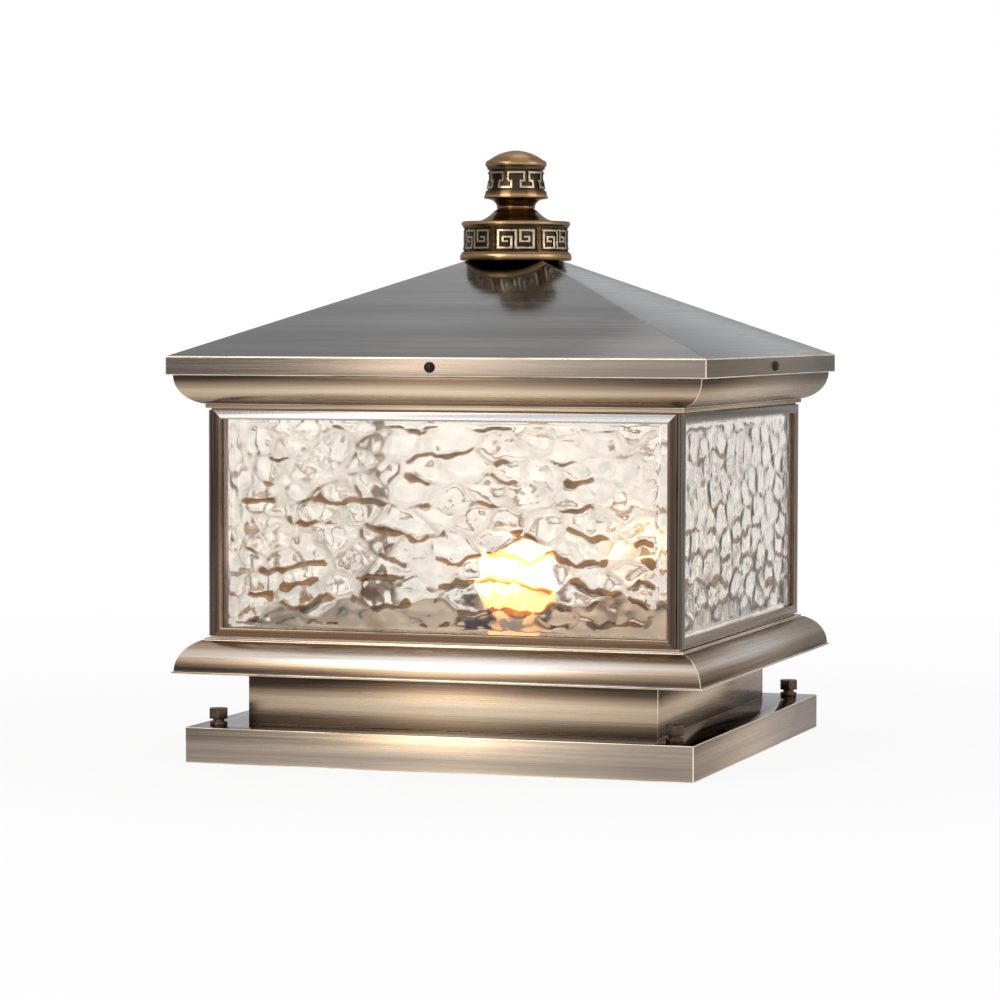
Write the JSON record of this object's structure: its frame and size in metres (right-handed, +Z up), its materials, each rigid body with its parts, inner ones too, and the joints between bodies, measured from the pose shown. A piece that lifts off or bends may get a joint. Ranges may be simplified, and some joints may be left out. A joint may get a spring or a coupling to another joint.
{
  "type": "pier mount post light",
  "caption": "Square glazed lantern for a pier top: boxed base, moulded skirt and cornice, rippled glass sides, pyramid roof with a turned finial.",
  "frame": {"origin": "middle of the underside, on the pier's top face", "axes": "+Z up, the front looks along -Y, +X is to the right seen from the front"},
  "size_m": [0.304, 0.304, 0.3349],
  "materials": {
    "aged_bronze": "satin",
    "roof_bronze": "satin",
    "finial_bronze": "satin",
    "dark_fastener": "satin",
    "rippled_glass": "gloss",
    "zinc_steel": "satin",
    "seal_rubber": "matte",
    "porcelain": "gloss",
    "contact_brass": "satin",
    "lamp_cap_metal": "satin",
    "lamp_glass": "gloss",
    "white_plastic": "matte",
    "brown_lead": "matte",
    "blue_lead": "matte",
    "green_lead": "matte"
  },
  "bodies": {
    "base": {"base_box": "aged_bronze", "neck": "aged_bronze", "soffit_plate": "aged_bronze", "skirt_moulding": "aged_bronze", "floor_tray": "aged_bronze", "head_ring": "aged_bronze", "cornice": "aged_bronze", "window_frame_front": "aged_bronze", "window_frame_right": "aged_bronze", "window_frame_back": "aged_bronze", "window_frame_left": "aged_bronze", "corner_post_front_right": "aged_bronze", "corner_post_back_right": "aged_bronze", "corner_post_back_left": "aged_bronze", "corner_post_front_left": "aged_bronze", "glass_pane_front": "rippled_glass", "glass_pane_right": "rippled_glass", "glass_pane_back": "rippled_glass", "glass_pane_left": "rippled_glass", "mounting_plate": "zinc_steel", "mounting_studs": "zinc_steel", "neck_screws": "zinc_steel", "neck_nuts": "zinc_steel", "skirt_bolts": "zinc_steel", "post_screws": "zinc_steel", "holder_strap": "zinc_steel", "hollow_nipple": "zinc_steel", "nipple_locknut": "zinc_steel", "terminal_screws": "zinc_steel", "pier_gasket": "seal_rubber", "cable_grommet": "seal_rubber", "pane_seals": "seal_rubber", "roof_seal": "seal_rubber", "lampholder_body": "porcelain", "lampholder_shell": "contact_brass", "centre_contact": "contact_brass", "terminal_block": "white_plastic", "live_lead": "brown_lead", "neutral_lead": "blue_lead", "earth_lead": "green_lead"},
    "lid": {"roof": "roof_bronze", "clinch_nuts": "zinc_steel", "finial_drum": "finial_bronze", "finial_knob": "finial_bronze", "finial_rod": "zinc_steel", "finial_seal": "seal_rubber", "finial_washer": "zinc_steel", "finial_nut": "zinc_steel"},
    "lamp": {"bulb_cap": "lamp_cap_metal", "bulb_collar": "white_plastic", "led_board": "white_plastic", "bulb_globe": "lamp_glass"},
    "screw_front": {"roof_screw_front": "dark_fastener"},
    "screw_right": {"roof_screw_right": "dark_fastener"},
    "screw_back": {"roof_screw_back": "dark_fastener"},
    "screw_left": {"roof_screw_left": "dark_fastener"},
    "nut_front_right": {"cap_nut_front_right": "dark_fastener"},
    "nut_back_right": {"cap_nut_back_right": "dark_fastener"},
    "nut_back_left": {"cap_nut_back_left": "dark_fastener"},
    "nut_front_left": {"cap_nut_front_left": "dark_fastener"}
  },
  "joints": [
    {"name": "lid_lift", "type": "slide", "parent": "base", "child": "lid", "axis": [0, 0, 1], "range_m": [0, 0.1]},
    {"name": "lamp_out", "type": "slide", "parent": "base", "child": "lamp", "axis": [0, 0, 1], "range_m": [0, 0.06]},
    {"name": "screw_front_out", "type": "slide", "parent": "lid", "child": "screw_front", "axis": [0, -1, 0], "range_m": [0, 0.01]},
    {"name": "screw_right_out", "type": "slide", "parent": "lid", "child": "screw_right", "axis": [1, 0, 0], "range_m": [0, 0.01]},
    {"name": "screw_back_out", "type": "slide", "parent": "lid", "child": "screw_back", "axis": [0, 1, 0], "range_m": [0, 0.01]},
    {"name": "screw_left_out", "type": "slide", "parent": "lid", "child": "screw_left", "axis": [-1, 0, 0], "range_m": [0, 0.01]},
    {"name": "nut_front_right_off", "type": "slide", "parent": "base", "child": "nut_front_right", "axis": [0, 0, 1], "range_m": [0, 0.012]},
    {"name": "nut_back_right_off", "type": "slide", "parent": "base", "child": "nut_back_right", "axis": [0, 0, 1], "range_m": [0, 0.012]},
    {"name": "nut_back_left_off", "type": "slide", "parent": "base", "child": "nut_back_left", "axis": [0, 0, 1], "range_m": [0, 0.012]},
    {"name": "nut_front_left_off", "type": "slide", "parent": "base", "child": "nut_front_left", "axis": [0, 0, 1], "range_m": [0, 0.012]}
  ]
}
